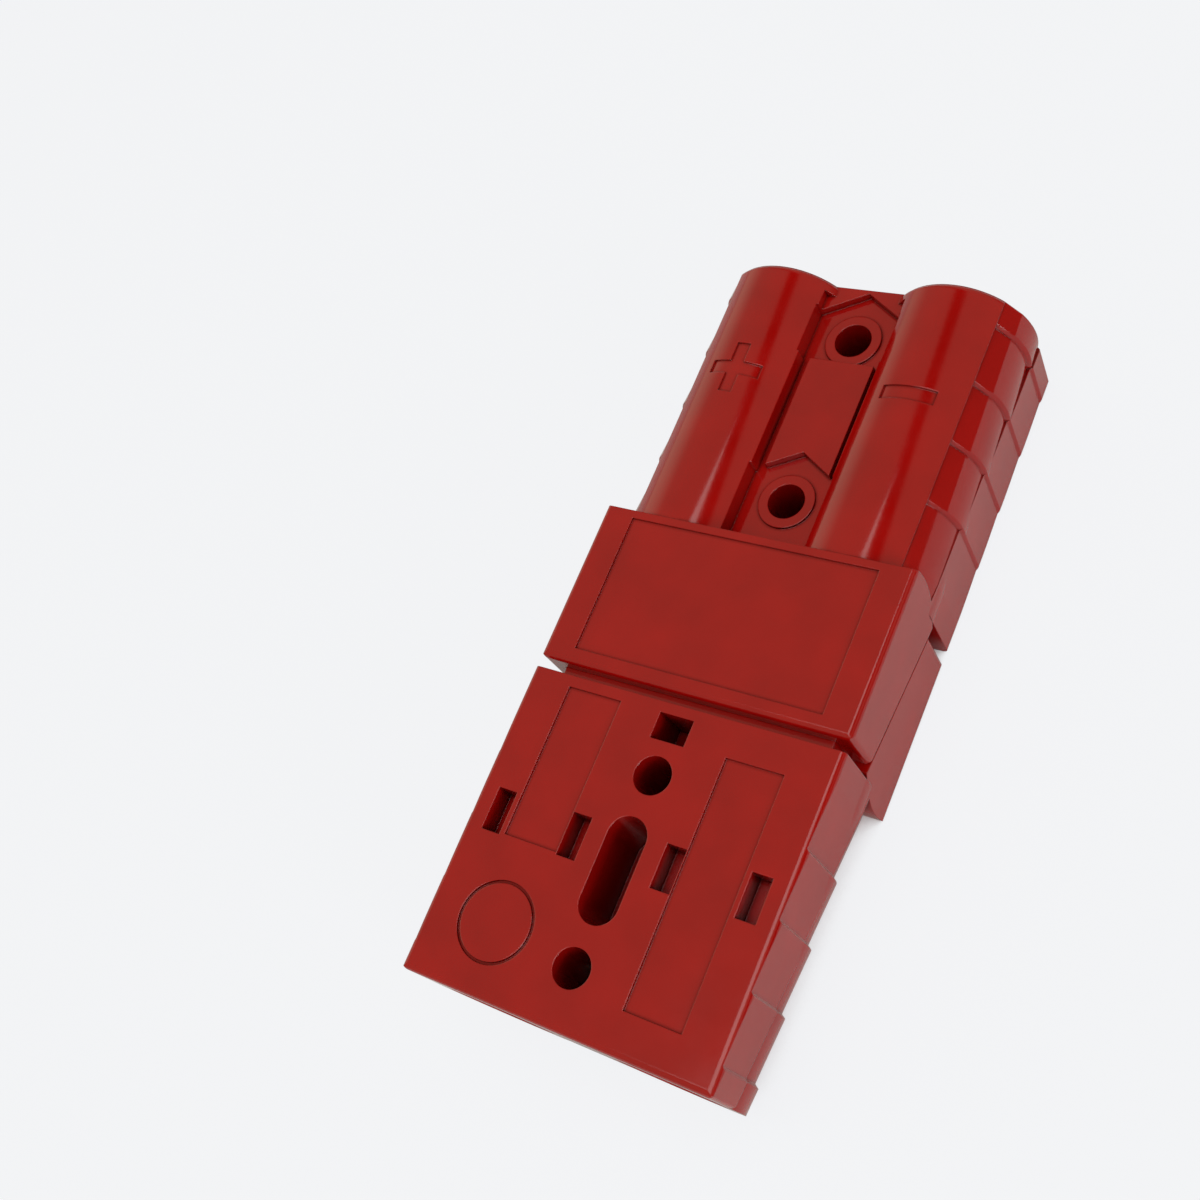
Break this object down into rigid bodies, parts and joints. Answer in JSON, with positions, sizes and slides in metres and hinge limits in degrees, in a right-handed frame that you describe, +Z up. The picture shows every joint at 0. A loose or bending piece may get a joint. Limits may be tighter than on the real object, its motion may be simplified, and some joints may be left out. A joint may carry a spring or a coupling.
{
  "type": "genderless power connector",
  "caption": "Genderless high-current connector pair, plugged together: moulded housings, flat-faced and hooded, with cable barrels, mounting holes and ribbed grips.",
  "frame": {"origin": "under the middle of the mated pair, on the surface it rests on", "axes": "+Y along the cables of half A, +X across the two poles, +Z up, away from half A's flat face"},
  "size_m": [0.0562, 0.134, 0.026],
  "materials": {
    "housing": "moulded red polycarbonate, semi-gloss",
    "contact": "silver-plated copper, satin",
    "spring": "bright stainless strip"
  },
  "bodies": {
    "root": {"housing_a": "housing", "housing_b": "housing", "contact_a_left": "contact", "contact_a_right": "contact", "contact_b_left": "contact", "contact_b_right": "contact", "spring_a_left": "spring", "spring_a_right": "spring", "spring_b_left": "spring", "spring_b_right": "spring"}
  },
  "joints": []
}
